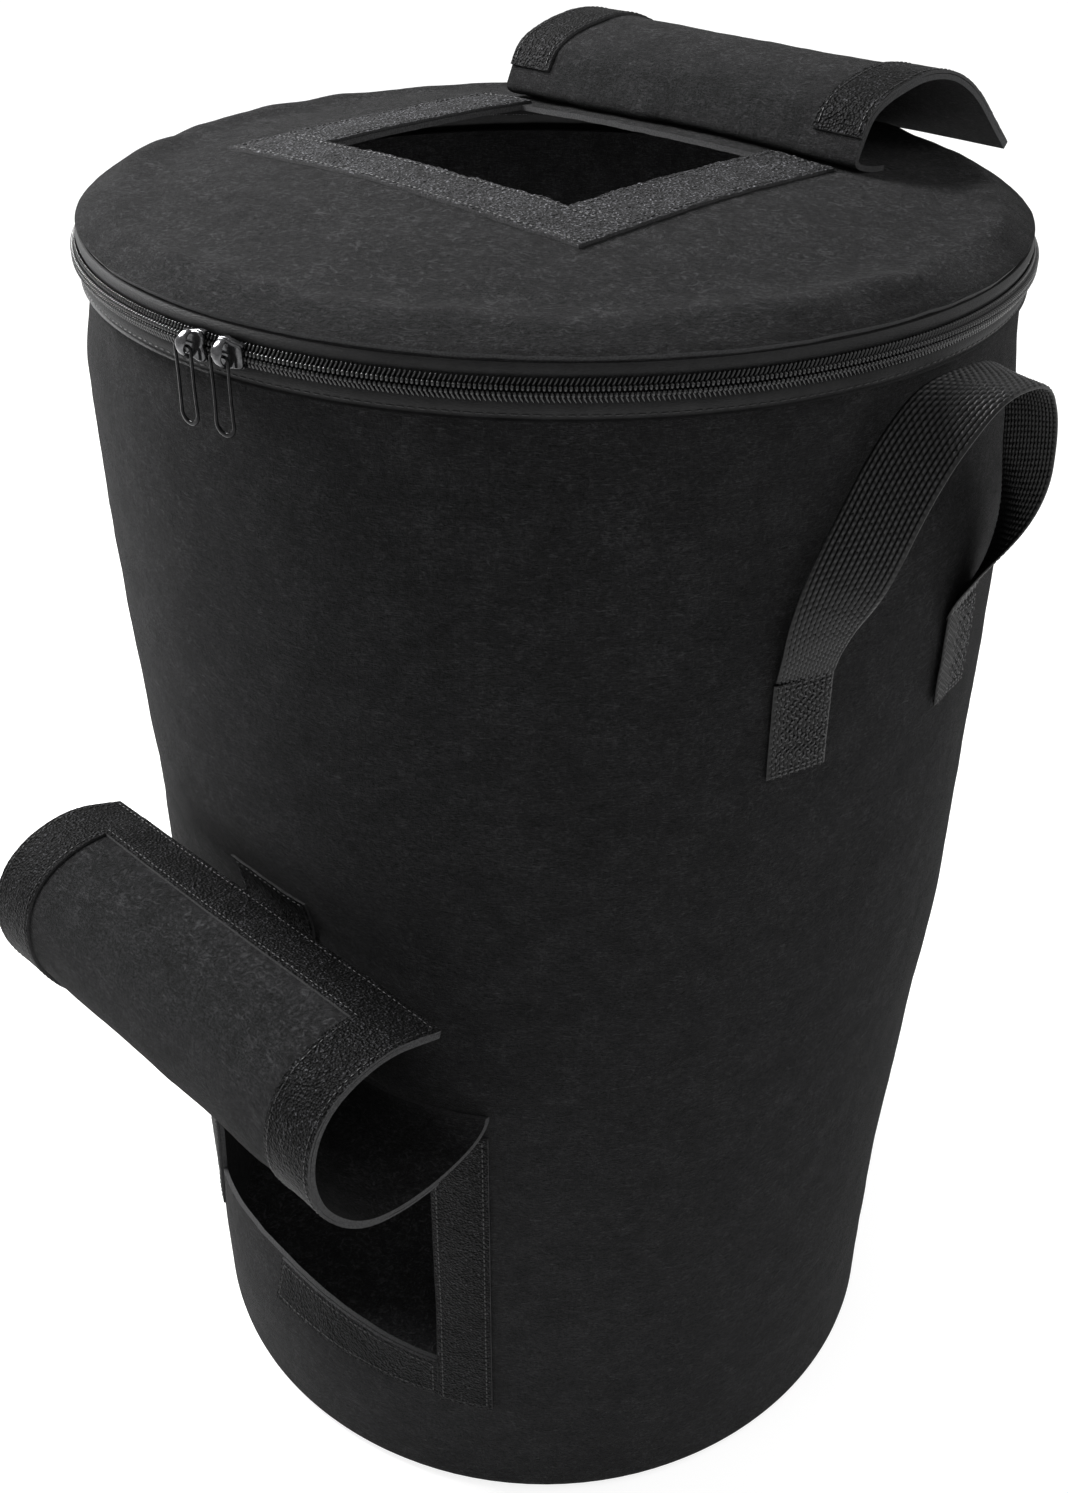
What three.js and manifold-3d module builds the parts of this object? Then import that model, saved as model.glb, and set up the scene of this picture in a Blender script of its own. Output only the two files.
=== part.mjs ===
// Fabric grow bag: a tall felt tub with a zipped felt lid, a roll-up harvest window in the front
// wall, a fold-back planting flap in the lid and two webbing handles.
//
// Millimetres. +Z is up, the window faces -Y, the handles are at +X and -X, and the lid hinges on
// a strip of felt at the back (+Y). The origin is the centre of the base's underside.
// An angle "around" the bag is in degrees from the front (-Y), growing towards +X.

import * as THREE from 'three';
import { mergeVertices } from 'three/addons/utils/BufferGeometryUtils.js';
import Module from 'manifold-3d';

// ---- Driving dimensions --------------------------------------------------------------------

const FELT = 2.2;                // thickness of the felt
const GAP = 0.3;                 // clearance between neighbouring pieces
const SEAM_GAP = 0.1;            // clearance between pieces sewn face to face
const WALL_GAP = 1.2;            // clearance of a strip on the faceted wall
const STRIP_THICK = 1.2;         // thickness of a hook or loop strip
const WEBBING_THICK = 1.4;       // thickness of the handle webbing
const WEBBING_WIDTH = 25;

const BASE_RADIUS = 168;         // outside of the wall at the floor
const TOP_RADIUS = 172;          // outside of the wall at its upper edge
const WALL_TOP = 531;

const ZIP_HEIGHT = 540;          // the line where the two rows of teeth meet
const ZIP_END = 164;             // angle around the bag where the zip stops
const TAPE_RADIUS = 172.6;       // inside of the zip tapes
const TAPE_THICK = 1.1;
const TAPE_LOW = 524;
const TAPE_HIGH = 549;
const COIL_THICK = 2.6;
const COIL_HALF = 3.35;          // height of one row of teeth
const END_STOP = { halfAngle: 0.5, proud: 0.5, inset: 0.7 };

const LID_RADIUS = 172.2;
const LID_RIM = 546;             // top of the lid at its rim
const LID_RISE = 12;             // how far the lid crowns above its shoulder
const LID_SHOULDER = 5;          // how far its edge rolls up from the rim

const OPENING = { x: -14.5, y: 7.5, halfX: 63.5, halfY: 52 };   // planting hole in the lid
const HOOK_FRAME = { front: 25, side: 29, back: 66 };   // hook strips round the planting hole
// Flaps: half their width and the middle of it, and the strips along their sides and free edge.
const PLANTING_FLAP = { halfWidth: 90, centre: -4, stripWidth: 22, stripStart: 6, edgeStrip: 22 };
const WINDOW_FLAP = { halfWidth: 102, centre: 0, stripWidth: 24, stripStart: 2, edgeStrip: 22 };
// Inner face of the folded-back planting flap, as (y, z), from its hinge to its free edge.
const TOP_FLAP = [[70, 569], [79, 584], [130, 590], [171, 552.5]];

const WINDOW = { halfX: 79.5, low: 85, high: 226 };
// Hook strips round the window: heights and angles round the bag of the two upright ones, and the
// lower edge and first angle of the one below the window.
const WINDOW_STRIP = { low: 60, high: 231, inner: 28.6, outer: 36.6, below: 63, start: -5, cornerGap: 0.2 };
const SAG = 14;                  // how far the wall flattens around the window
const SAG_SPAN = 38;             // half the angle that flattens
// Two soft bulges of the wall: middle and half width in degrees, how far out, and the heights
// where each begins, is full, starts to fade and ends.
const BULGES = [
  { middle: 134, span: 62, out: 7, heights: [150, 390, 440, 528] },
  { middle: -46, span: 62, out: 4, heights: [360, 460, 490, 528] },
];
const FLAP_SEAM = 238;           // height of the harvest flap's sewn edge
// Inner face of the rolled-up harvest flap, as (distance in front of the axis, z).
const ROLL = [[172.5, 226], [203, 234], [222, 264], [216, 296], [188, 307], [160.5, 299]];
const FOLD_CLEAR = 1.5;          // clearance of the sewn root from the first fold
const FOLD_GAP = 0.4;            // clearance of each length from the fold at its end

// Patch that holds the roll up: angles round the bag and heights.
const KEEPER = { from: -6.3, to: 9.7, low: 264, high: 318.5 };

// Free loop of a handle: half the distance between its feet, their height, how high it rises and
// how far out it leans, the angles its webbing turns through, and how far its legs bow apart.
const HANDLE = { spread: 42, foot: 434, rise: 98, lean: 14, untwisted: 14, twist: 72, bow: 0.42 };
// The loop in detail: how far it stands off the wall, how wide a reach of the wall its ends follow,
// the share of its height by which it is fully twisted, and how its ends lean and spread.
const HANDLE_BEND = {
  steps: 28, standOff: 1.5, reach: 60, twistedBy: 0.66,
  turnOut: 0.45, rounding: 0.8, legBlend: 3, endLean: 0.25,
};
const HANDLE_PATCH = { low: 392, high: 426.8 };
const HANDLE_TURN = -2;          // how far round the two handles stand from +X and -X

const SLIDERS = { left: 5, right: 10 };     // where the two sliders stand, around the bag
const SLIDER = { width: 9, height: 10, plate: 1.8 };
const BRIDGE = { width: 3.4, outside: 182.4, thick: 1.1, inset: 0.6, post: 1.6, rooted: 0.2 };
const PULL = { width: 9, length: 27, wire: 1.6, radius: 180.1 };

// ---- Materials -----------------------------------------------------------------------------

const finish = (color, roughness, metalness) => () =>
  new THREE.MeshStandardMaterial({ color, roughness, metalness });
const feltLook = finish(0x1d1d1f, 0.95, 0);
const stripLook = finish(0x141416, 0.85, 0);
const webbingLook = finish(0x121214, 0.6, 0);
const tapeLook = finish(0x19191b, 0.8, 0);
const coilLook = finish(0x0e0e10, 0.35, 0);
const metalLook = finish(0x2b2c2f, 0.3, 0.9);

// ---- Shape helpers -------------------------------------------------------------------------

const radians = THREE.MathUtils.degToRad;
const smooth = (x) => THREE.MathUtils.smoothstep(x, 0, 1);

/** A point at an angle around the bag, a radius from its axis and a height. */
function around(angle, radius, z) {
  const a = radians(angle);
  return new THREE.Vector3(radius * Math.sin(a), -radius * Math.cos(a), z);
}

function volumeOf(points, faces) {
  return faces.reduce((sum, [a, b, c]) =>
    sum + points[a].dot(points[b].clone().cross(points[c])) / 6, 0);
}

/** A closed body from points and triangles, turned so that its faces point out. */
function body(points, faces) {
  const outward = volumeOf(points, faces) > 0 ? faces : faces.map(([a, b, c]) => [a, c, b]);
  const geometry = new THREE.BufferGeometry();
  geometry.setAttribute('position',
    new THREE.Float32BufferAttribute(points.flatMap((p) => p.toArray()), 3));
  geometry.setIndex(outward.flat());
  return geometry;
}

/** Sweep a closed section, given as a list of points at each t from 0 to 1. */
function sweep(steps, section, isLoop = false) {
  const rings = Array.from({ length: isLoop ? steps : steps + 1 }, (_, i) => section(i / steps));
  const count = rings[0].length;
  const faces = [];
  for (let i = 0; i < steps; i += 1) {
    const next = (i + 1) % rings.length;
    for (let k = 0; k < count; k += 1) {
      const after = (k + 1) % count;
      const [a, b] = [i * count + k, i * count + after];
      const [c, d] = [next * count + after, next * count + k];
      faces.push([a, b, c], [a, c, d]);
    }
  }
  if (!isLoop) {
    const last = steps * count;
    for (let k = 1; k < count - 1; k += 1) {
      faces.push([0, k + 1, k], [last, last + k, last + k + 1]);
    }
  }
  return body(rings.flat(), faces);
}

/** A thin sheet with the surface point(u, v, side), side 0 below and 1 above. */
function sheet(stepsU, stepsV, point) {
  const section = (u) => {
    const row = (side) => Array.from({ length: stepsV + 1 }, (_, j) => point(u, j / stepsV, side));
    return [...row(0), ...row(1).reverse()];
  };
  const rings = Array.from({ length: stepsU + 1 }, (_, i) => section(i / stepsU));
  const count = rings[0].length;
  const faces = [];
  for (let i = 0; i < stepsU; i += 1) {
    for (let k = 0; k < count; k += 1) {
      const [a, b] = [i * count + k, i * count + (k + 1) % count];
      faces.push([a, b, b + count], [a, b + count, a + count]);
    }
  }
  for (let j = 0; j < stepsV; j += 1) {
    const [a, b, c, d] = [j, j + 1, count - 2 - j, count - 1 - j];
    const last = stepsU * count;
    faces.push([a, c, b], [a, d, c], [last + a, last + b, last + c], [last + a, last + c, last + d]);
  }
  return body(rings.flat(), faces);
}

/** A band round the bag with a rectangular section. */
function band(from, to, steps, inner, outer, low, high) {
  return sweep(steps, (t) => {
    const angle = THREE.MathUtils.lerp(from, to, t);
    return [around(angle, inner, low), around(angle, outer, low),
      around(angle, outer, high), around(angle, inner, high)];
  });
}

/** Moves a piece round the bag by an angle. */
const turnTo = (geometry, angle) => geometry.rotateZ(radians(angle));

/** A flat plate: a rectangle in the YZ plane carried from x0 to x1. */
function plate(corners, x0, x1) {
  return sweep(1, (t) => corners.map(([y, z]) =>
    new THREE.Vector3(THREE.MathUtils.lerp(x0, x1, t), y, z)));
}

const wasm = await Module();
wasm.setup();

/** Merge shared corners and drop the empty triangles that a lathe leaves on its axis. */
function weld(geometry) {
  const bare = geometry.clone();
  bare.deleteAttribute('normal');
  bare.deleteAttribute('uv');
  const merged = mergeVertices(bare, 1e-4);
  const index = Array.from(merged.index.array);
  const triangles = Array.from({ length: index.length / 3 }, (_, i) => index.slice(3 * i, 3 * i + 3));
  merged.setIndex(triangles.filter((corners) => new Set(corners).size === 3).flat());
  return merged;
}

function toSolid(geometry) {
  const merged = weld(geometry);
  return new wasm.Manifold(new wasm.Mesh({
    numProp: 3,
    vertProperties: new Float32Array(merged.attributes.position.array),
    triVerts: new Uint32Array(merged.index.array),
  }));
}

function fromSolid(solid) {
  const mesh = solid.getMesh();
  const geometry = new THREE.BufferGeometry();
  geometry.setAttribute('position', new THREE.BufferAttribute(mesh.vertProperties, 3));
  geometry.setIndex(new THREE.BufferAttribute(mesh.triVerts, 1));
  return geometry;
}

function boxBetween(low, high) {
  const size = high.map((h, i) => h - low[i]);
  const geometry = new THREE.BoxGeometry(...size);
  return geometry.translate(...low.map((l, i) => l + size[i] / 2));
}

const cut = (geometry, tool) => fromSolid(toSolid(geometry).subtract(toSolid(tool)));
const join = (...pieces) => fromSolid(pieces.map(toSolid).reduce((sum, next) => sum.add(next)));

// ---- Surfaces ------------------------------------------------------------------------------

/** A rounded hump across an angle, 1 in its middle and 0 from span degrees away. */
function hump(angle, middle, span) {
  const away = Math.abs(THREE.MathUtils.euclideanModulo(angle - middle + 180, 360) - 180);
  return away < span ? Math.cos((away / span) * Math.PI / 2) ** 2 : 0;
}

/** How far the wall bulges out at an angle and a height. */
function bulge(angle, z) {
  return BULGES.reduce((sum, { middle, span, out, heights: [start, full, fade, end] }) => {
    const upward = smooth((z - start) / (full - start)) * (1 - smooth((z - fade) / (end - fade)));
    return sum + out * hump(angle, middle, span) * upward;
  }, 0);
}

/** Radius of the wall's outside: a slight taper, flattened round the window. */
function wallRadius(angle, z) {
  const taper = THREE.MathUtils.lerp(BASE_RADIUS, TOP_RADIUS, z / WALL_TOP);
  const upward = smooth((z - 40) / 80) * (1 - smooth((z - 300) / 50));
  return taper - SAG * hump(angle, 0, SAG_SPAN) * upward + bulge(angle, z);
}

/** Height of the lid's upper face. */
function lidHeight(x, y) {
  const share = Math.hypot(x, y) / LID_RADIUS;
  return LID_RIM + LID_RISE * (1 - share ** 2.4) + LID_SHOULDER * (1 - share ** 14);
}

/** A strip that lies on the wall. */
function wallStrip(from, to, low, high, thick, stepsAround, stepsUp) {
  return sheet(stepsAround, stepsUp, (u, v, side) => {
    const angle = THREE.MathUtils.lerp(from, to, u);
    const z = THREE.MathUtils.lerp(low, high, v);
    return around(angle, wallRadius(angle, z) + WALL_GAP + side * thick, z);
  });
}

/** A strip that lies on the lid. */
function lidStrip(x0, x1, y0, y1, stepsX, stepsY) {
  return sheet(stepsX, stepsY, (u, v, side) => {
    const x = THREE.MathUtils.lerp(x0, x1, u);
    const y = THREE.MathUtils.lerp(y0, y1, v);
    return new THREE.Vector3(x, y, lidHeight(x, y) + GAP + side * STRIP_THICK);
  });
}

// ---- Parts ---------------------------------------------------------------------------------

const group = new THREE.Group();

function add(name, geometry, look) {
  const mesh = new THREE.Mesh(geometry, look());
  mesh.name = name;
  group.add(mesh);
}

function wallPanel() {
  const levels = [0, 40, 60, 80, 100, 120, 150, 210, 300, 312, 325, 350, 390, 440, 465, 490, 510, 524,
    WALL_TOP];
  const shell = sweep(72, (t) => {
    const angle = t * 360;
    const outside = levels.map((z) => around(angle, wallRadius(angle, z), z));
    const inside = levels.map((z) => around(angle, wallRadius(angle, z) - FELT, z));
    return [...outside, ...inside.reverse()];
  }, true);
  const { halfX, low, high } = WINDOW;
  return cut(shell, boxBetween([-halfX, -BASE_RADIUS - 20, low], [halfX, -100, high]));
}

function basePanel() {
  const radius = BASE_RADIUS - FELT - GAP;
  return new THREE.CylinderGeometry(radius, radius, FELT, 72)
    .rotateX(Math.PI / 2)
    .translate(0, 0, FELT / 2);
}

function lidPanel() {
  const radii = [0, 45, 80, 110, 135, 150, 160, 167, LID_RADIUS];
  const below = radii.map((r) => new THREE.Vector2(r, lidHeight(r, 0) - FELT));
  const above = radii.map((r) => new THREE.Vector2(r, lidHeight(r, 0))).reverse();
  const dome = new THREE.LatheGeometry([...below, ...above], 64).rotateX(Math.PI / 2);
  const { x, y, halfX, halfY } = OPENING;
  const hole = boxBetween([x - halfX, y - halfY, 500], [x + halfX, y + halfY, 600]);
  return cut(dome, hole);
}

function zipRows() {
  const tapeOut = TAPE_RADIUS + TAPE_THICK;
  const coilIn = tapeOut + SEAM_GAP;
  const coilOut = coilIn + COIL_THICK;
  const coilEnd = ZIP_END - 1.5;
  const low = ZIP_HEIGHT - GAP / 2;
  const high = ZIP_HEIGHT + GAP / 2;
  const { halfAngle, proud, inset } = END_STOP;
  add('zip_tape_lower', band(-ZIP_END, ZIP_END, 60, TAPE_RADIUS, tapeOut, TAPE_LOW, low), tapeLook);
  add('zip_tape_upper', band(-ZIP_END, ZIP_END, 60, TAPE_RADIUS, tapeOut, high, TAPE_HIGH), tapeLook);
  const coil = (bottom, top) => band(-coilEnd, coilEnd, 90, coilIn, coilOut, bottom, top);
  add('zip_coil_lower', coil(low - COIL_HALF, low), coilLook);
  add('zip_coil_upper', coil(high, high + COIL_HALF), coilLook);
  const stop = (angle) => band(angle - halfAngle, angle + halfAngle, 1, coilIn, coilOut + proud,
    low - COIL_HALF - proud, low);
  add('zip_end_stop_left', stop(-ZIP_END + inset), metalLook);
  add('zip_end_stop_right', stop(ZIP_END - inset), metalLook);
}

/** The felt hinge at the back: one half stays with the wall, the other with the lid. */
function feltHinge() {
  const from = ZIP_END + 0.3;
  const to = 360 - from;
  const half = (low, high) => band(from, to, 8, TAPE_RADIUS, TAPE_RADIUS + FELT, low, high);
  add('hinge_felt_lower', half(TAPE_LOW, ZIP_HEIGHT - GAP), feltLook);
  add('hinge_felt_upper', half(ZIP_HEIGHT + GAP, TAPE_HIGH), feltLook);
}

function lidStrips() {
  const { x, y, halfX, halfY } = OPENING;
  const inX = halfX + GAP;
  const outX = halfX + HOOK_FRAME.side;
  const front = y - halfY - GAP;
  const sides = [front + GAP, HOOK_FRAME.back, 2, 6];
  add('lid_hook_front',
    lidStrip(x - outX, x + outX, front - HOOK_FRAME.front, front - SEAM_GAP, 10, 2), stripLook);
  add('lid_hook_left', lidStrip(x - outX, x - inX, ...sides), stripLook);
  add('lid_hook_right', lidStrip(x + inX, x + outX, ...sides), stripLook);
}

function windowStrips() {
  const { low, high, inner, outer, below, start, cornerGap } = WINDOW_STRIP;
  add('window_hook_left', wallStrip(-outer, -inner, low, high, STRIP_THICK, 3, 8), stripLook);
  add('window_hook_right', wallStrip(inner, outer, low, high, STRIP_THICK, 3, 8), stripLook);
  add('window_hook_bottom',
    wallStrip(start, inner - cornerGap, below, WINDOW.low - GAP, STRIP_THICK, 8, 2), stripLook);
  const { from, to, low: bottom, high: top } = KEEPER;
  add('roll_keeper_patch', wallStrip(from, to, bottom, top, STRIP_THICK, 4, 5), stripLook);
}

/** The sewn root of the harvest flap: from the curved wall out to the straight first fold. */
function windowFlapRoot() {
  const [foldOut, foldZ] = ROLL[0];
  return sheet(16, 2, (u, v, side) => {
    const x = THREE.MathUtils.lerp(-WINDOW_FLAP.halfWidth, WINDOW_FLAP.halfWidth, u);
    const angle = THREE.MathUtils.radToDeg(Math.asin(x / wallRadius(SAG_SPAN, FLAP_SEAM)));
    const seam = -around(angle, wallRadius(angle, FLAP_SEAM) + WALL_GAP, FLAP_SEAM).y;
    const out = THREE.MathUtils.lerp(seam, foldOut - FOLD_CLEAR, v);
    const z = THREE.MathUtils.lerp(FLAP_SEAM, foldZ + FELT + GAP, v) - (1 - side) * FELT;
    return new THREE.Vector3(x, -out, z);
  });
}

/**
 * One rigid length of a folded flap. a and b are the ends of its inner face as (y, z), and the
 * felt stands to the left of the way from a to b. start and end are how far it stays clear of them.
 */
function flapLength(a, b, from, to, start, end) {
  const along = new THREE.Vector2(b[0] - a[0], b[1] - a[1]);
  const length = along.length();
  along.divideScalar(length);
  const normal = new THREE.Vector2(-along.y, along.x);
  const at = (s, n) => [a[0] + along.x * s + normal.x * n, a[1] + along.y * s + normal.y * n];
  return [at(start, from), at(length - end, from), at(length - end, to), at(start, to)];
}

/** Felt and loop strips of a flap, from its fold points as (y, z). */
function flap(name, points, { halfWidth, centre, stripWidth, stripStart, edgeStrip }) {
  const last = points.length - 1;
  const stripLow = FELT + SEAM_GAP;
  const stripHigh = stripLow + STRIP_THICK;
  const [left, right] = [centre - halfWidth, centre + halfWidth];
  for (let k = 0; k < last; k += 1) {
    const [a, b] = [points[k], points[k + 1]];
    const isEdge = k === last - 1;
    const felt = flapLength(a, b, 0, FELT, FOLD_GAP, isEdge ? 0 : FOLD_GAP);
    add(`${name}_felt_${k + 1}`, plate(felt, left, right), feltLook);
    const strip = flapLength(a, b, stripLow, stripHigh, k === 0 ? stripStart : FOLD_GAP,
      isEdge ? edgeStrip + GAP : FOLD_GAP);
    add(`${name}_loop_left_${k + 1}`, plate(strip, left, left + stripWidth), stripLook);
    add(`${name}_loop_right_${k + 1}`, plate(strip, right - stripWidth, right), stripLook);
    if (isEdge) {
      const length = Math.hypot(b[0] - a[0], b[1] - a[1]);
      const edge = flapLength(a, b, stripLow, stripHigh, length - edgeStrip, 0);
      add(`${name}_loop_edge`, plate(edge, left, right), stripLook);
    }
  }
}

/**
 * The free loop of a handle, at +X for side 1 and at -X for side -1: an arch whose webbing turns
 * edge-out as it leaves the wall.
 */
function handleLoop(side) {
  const { spread, foot, rise, lean, untwisted, twist, bow } = HANDLE;
  const { steps, standOff, reach, twistedBy, turnOut, rounding, legBlend, endLean } = HANDLE_BEND;
  return sweep(steps, (t) => {
    const turn = Math.PI * t;
    const height = Math.sin(turn) ** 2;
    const lateral = -Math.sign(Math.cos(turn)) * Math.abs(Math.cos(turn)) ** rounding;
    const y = spread * lateral * (1 + bow * Math.sin(turn));
    const place = side * 90 + HANDLE_TURN + THREE.MathUtils.radToDeg(Math.asin(y / TOP_RADIUS));
    const stand = TOP_RADIUS + standOff + bulge(place, foot);
    const seat = Math.sqrt(stand ** 2 - Math.min(Math.abs(y), reach) ** 2);
    const turned = smooth(height / twistedBy);
    const angle = radians(THREE.MathUtils.lerp(untwisted, twist, turned));
    const turnedOut = turnOut * WEBBING_WIDTH * (Math.sin(angle) - Math.sin(radians(untwisted)));
    const outward = seat + turnedOut + lean * height ** rounding;
    const legSide = THREE.MathUtils.clamp(-lateral * legBlend, -1, 1);
    const across = new THREE.Vector3(Math.sin(angle), Math.cos(angle) * legSide, 0).normalize();
    const heading = new THREE.Vector3(0, Math.cos(turn) >= 0 ? endLean : -endLean, 0)
      .add(new THREE.Vector3(0, Math.sin(turn) ** 3, Math.cos(turn)));
    const face = across.clone().cross(heading).normalize();
    const centre = new THREE.Vector3(outward, y, foot + rise * height);
    return [[-1, -1], [1, -1], [1, 1], [-1, 1]].map(([w, n]) => {
      const p = centre.clone()
        .addScaledVector(across, w * WEBBING_WIDTH / 2)
        .addScaledVector(face, n * WEBBING_THICK / 2);
      return side > 0 ? p : new THREE.Vector3(-p.x, -p.y, p.z);
    });
  });
}

function handles() {
  const half = THREE.MathUtils.radToDeg(WEBBING_WIDTH / 2 / TOP_RADIUS);
  const offset = THREE.MathUtils.radToDeg(HANDLE.spread / TOP_RADIUS);
  const { low, high } = HANDLE_PATCH;
  for (const [name, centre] of [['right', 90 + HANDLE_TURN], ['left', 270 + HANDLE_TURN]]) {
    for (const [end, angle] of [['a', centre - offset], ['b', centre + offset]]) {
      add(`handle_${name}_sewn_end_${end}`,
        wallStrip(angle - half, angle + half, low, high, WEBBING_THICK, 3, 1), webbingLook);
    }
    const loop = handleLoop(name === 'right' ? 1 : -1);
    add(`handle_${name}_loop`, turnTo(loop, HANDLE_TURN), webbingLook);
  }
}

function sliderBody() {
  const inner = TAPE_RADIUS + TAPE_THICK + SEAM_GAP + COIL_THICK + GAP;
  const outer = inner + SLIDER.plate;
  const { width, height } = SLIDER;
  const { outside, thick, inset, post, rooted } = BRIDGE;
  const end = height / 2 - inset;
  const slab = (halfX, near, far, low, high) =>
    boxBetween([-halfX, -far, ZIP_HEIGHT + low], [halfX, -near, ZIP_HEIGHT + high]);
  const cover = slab(width / 2, inner, outer, -height / 2, height / 2);
  const bridge = slab(BRIDGE.width / 2, outside - thick, outside, -end, end);
  const upperPost = slab(BRIDGE.width / 2, outer - rooted, outside, end - post, end);
  const lowerPost = slab(BRIDGE.width / 2, outer - rooted, outside, -end, post - end);
  return join(cover, bridge, upperPost, lowerPost);
}

function pullLoop() {
  const { width, length, wire, radius } = PULL;
  const top = ZIP_HEIGHT + wire / 2;
  const outline = new THREE.Shape();
  outline.moveTo(-width / 2, top);
  outline.lineTo(-width / 2, top - length + width / 2);
  outline.absarc(0, top - length + width / 2, width / 2, Math.PI, 2 * Math.PI, false);
  outline.lineTo(width / 2, top);
  outline.closePath();
  const hole = new THREE.Path();
  const inner = width / 2 - wire;
  hole.moveTo(-inner, top - wire);
  hole.lineTo(inner, top - wire);
  hole.lineTo(inner, top - length + width / 2);
  hole.absarc(0, top - length + width / 2, inner, 2 * Math.PI, Math.PI, true);
  hole.closePath();
  outline.holes.push(hole);
  const loop = new THREE.ExtrudeGeometry(outline, {
    depth: wire, bevelEnabled: false, curveSegments: 8,
  });
  return loop.rotateX(Math.PI / 2).translate(0, -radius + wire / 2, 0);
}

function sliders() {
  for (const [name, angle] of Object.entries(SLIDERS)) {
    add(`zip_slider_${name}`, turnTo(sliderBody(), angle), metalLook);
    add(`zip_pull_${name}`, turnTo(pullLoop(), angle), metalLook);
  }
}

add('wall_panel', wallPanel(), feltLook);
add('base_panel', basePanel(), feltLook);
add('lid_panel', lidPanel(), feltLook);
zipRows();
feltHinge();
lidStrips();
windowStrips();
add('window_flap_root', windowFlapRoot(), feltLook);
flap('window_flap', ROLL.map(([out, z]) => [-out, z]), WINDOW_FLAP);
flap('top_flap', TOP_FLAP, PLANTING_FLAP);
handles();
sliders();

export default group;
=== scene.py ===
import itertools
import math

import bpy
import numpy as np
from mathutils import Matrix, Vector


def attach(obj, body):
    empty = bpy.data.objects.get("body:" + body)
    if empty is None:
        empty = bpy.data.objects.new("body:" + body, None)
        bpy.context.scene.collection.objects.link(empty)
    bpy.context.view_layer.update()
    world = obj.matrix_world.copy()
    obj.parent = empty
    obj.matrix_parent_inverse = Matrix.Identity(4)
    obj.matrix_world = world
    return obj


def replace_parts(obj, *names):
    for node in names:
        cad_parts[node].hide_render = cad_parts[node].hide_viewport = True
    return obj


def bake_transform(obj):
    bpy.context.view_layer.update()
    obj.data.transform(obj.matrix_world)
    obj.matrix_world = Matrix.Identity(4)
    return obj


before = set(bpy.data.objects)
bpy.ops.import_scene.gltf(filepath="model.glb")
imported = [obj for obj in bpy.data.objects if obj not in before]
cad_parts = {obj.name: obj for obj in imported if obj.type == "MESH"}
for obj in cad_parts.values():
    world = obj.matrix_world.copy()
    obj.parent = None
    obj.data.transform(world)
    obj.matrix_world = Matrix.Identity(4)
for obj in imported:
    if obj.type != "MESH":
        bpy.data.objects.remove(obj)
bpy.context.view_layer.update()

# ---- Sizes, in metres, as in the frame ----

FELT = 0.0021
STRIP = 0.0010
BASE_RADIUS = 0.168
TOP_RADIUS = 0.172
TAPER_TOP = 0.531  # height at which the wall is TOP_RADIUS wide
WALL_TOP = 0.5335  # the felt's edge runs up behind the zip tape
LID_RADIUS = 0.1740  # the felt's edge lies on top of the zip tape
LID_RIM = 0.5503
LID_RISE = 0.0103
LID_SHOULDER = 0.0024
LID_PUFF = (0.160, 0.009, 0.0028)  # radius, half width and height of the puffed rim
ZIP_HEIGHT = 0.540
ZIP_END = 164.0  # degrees round the bag from the front
BACK_SEAM = 2.4  # half width in degrees of the wall's overlap at the back
TAPE_RADIUS = 0.1726
COIL_RADIUS = 0.1751  # middle of the teeth
COIL_PITCH = 0.00155
SLIDER_SHIFT = 0.0024  # how far the visual sliders stand to the right of the CAD ones
OPENING = (-0.0145, 0.0075, 0.0635, 0.052)  # centre x, y, half sizes
HOOK_FRONT = 0.025  # width of the strip in front of the planting hole
HOOK_SIDE = 0.029
HOOK_BACK = 0.066
WINDOW_ANGLE = 28.0
WINDOW_LOW = 0.085
WINDOW_HIGH = 0.226
SAG = 0.014
SAG_SPAN = 38.0
# Soft bulges of the wall: middle and half width in degrees, how far out, and the heights where
# each begins, is full, starts to fade and ends.
BULGES = [(134.0, 62.0, 0.009, (0.080, 0.290, 0.460, 0.528)),
          (-46.0, 62.0, 0.006, (0.300, 0.460, 0.495, 0.529))]
KEEPER = ((-6.3, 9.7), (0.264, 0.3185))  # angles and heights of the patch that holds the roll
FLAP_HALF = 0.102
ROLL = [(0.1725, 0.226), (0.203, 0.234), (0.222, 0.264), (0.216, 0.296), (0.188, 0.307), (0.1605, 0.299)]
TOP_FLAP = [(0.070, 0.569), (0.079, 0.584), (0.130, 0.590), (0.171, 0.5525)]
TOP_FLAP_HALF = 0.090
TOP_FLAP_CENTRE = -0.004
HANDLE_SPREAD = 0.042  # half the distance between a handle's feet
HANDLE_TURN = -2.0  # degrees that the handles stand round from +X and -X
HANDLE_FOOT = 0.430
WEBBING = 0.025
WEBBING_THICK = 0.0015
WEAVE_ACROSS = WEBBING / 15  # spacing of the webbing's floats
WEAVE_ALONG = 0.0026
WEBBING_STEP = 0.00045  # spacing of the points along webbing
SEWN_LOW = 0.392  # lower edge of a handle's sewn end, which ends at HANDLE_FOOT
STRIP_INSET = 0.0022  # from a strip's edge to its stitches
STRIP_STITCH = 0.0028  # from one stitch on a strip to the next
STRIP_THREAD = 0.00055


# ---- Noise and small maths ----

NOISE_TABLE = np.random.default_rng(7).random(4096)
NOISE_STEPS = (73, 1571, 2749)


def smooth(t):
    t = np.clip(t, 0, 1)
    return t * t * (3 - 2 * t)


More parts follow.
